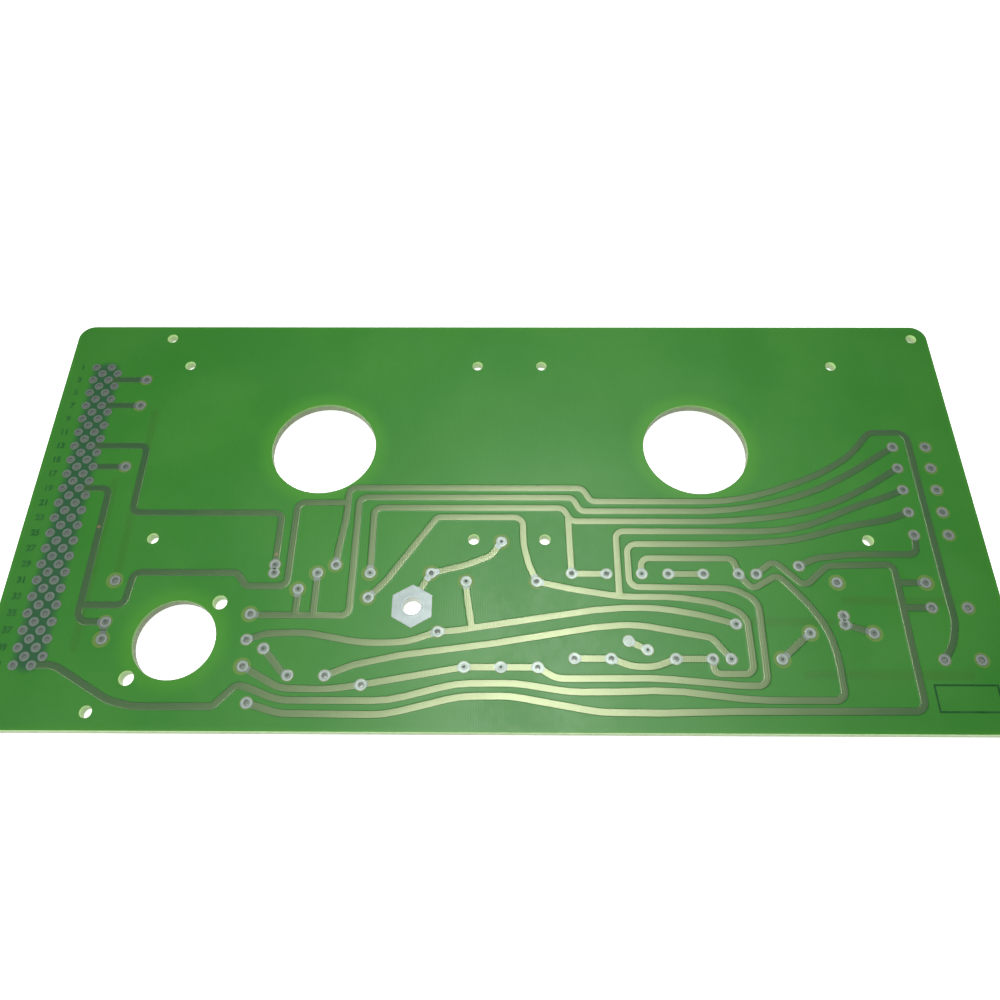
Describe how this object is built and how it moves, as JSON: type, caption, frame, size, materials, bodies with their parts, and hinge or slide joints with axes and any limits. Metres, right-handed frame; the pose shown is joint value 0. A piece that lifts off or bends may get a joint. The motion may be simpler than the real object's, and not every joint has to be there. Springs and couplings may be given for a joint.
{
  "type": "printed circuit board",
  "caption": "Bare green printed circuit board with staggered connector lands, large round cut-outs, a hexagonal stud land and broad tracks.",
  "frame": {"origin": "centre of the board's underside", "axes": "+X along the long edge towards the edge with the paired land columns, +Y towards the edge above the two large openings, +Z out of the track side"},
  "size_m": [0.2856, 0.1364, 0.0033],
  "materials": {
    "resist_green": "satin solder resist over glass-epoxy laminate",
    "copper_track": "copper track under translucent solder resist",
    "tinned_land": "dull tinned copper",
    "masked_line": "thin copper line under solder resist"
  },
  "bodies": {
    "root": {"laminate": "resist_green", "net_row_2": "copper_track", "net_row_6": "copper_track", "net_row_12": "copper_track", "net_row_15": "copper_track", "net_bus_1": "copper_track", "net_row_40": "copper_track", "net_bus_2": "copper_track", "net_bus_3": "copper_track", "net_bus_4": "copper_track", "net_bus_5": "copper_track", "hex_stud_net": "copper_track", "net_long_wave": "copper_track", "net_short_wave": "copper_track", "net_return": "copper_track", "net_lead": "copper_track", "net_right_pair": "copper_track", "link_diagonal": "copper_track", "link_level": "copper_track", "link_filled": "copper_track", "link_slant": "copper_track", "connector_lands": "tinned_land", "outer_lands": "tinned_land", "marking_frame": "masked_line"}
  },
  "joints": []
}
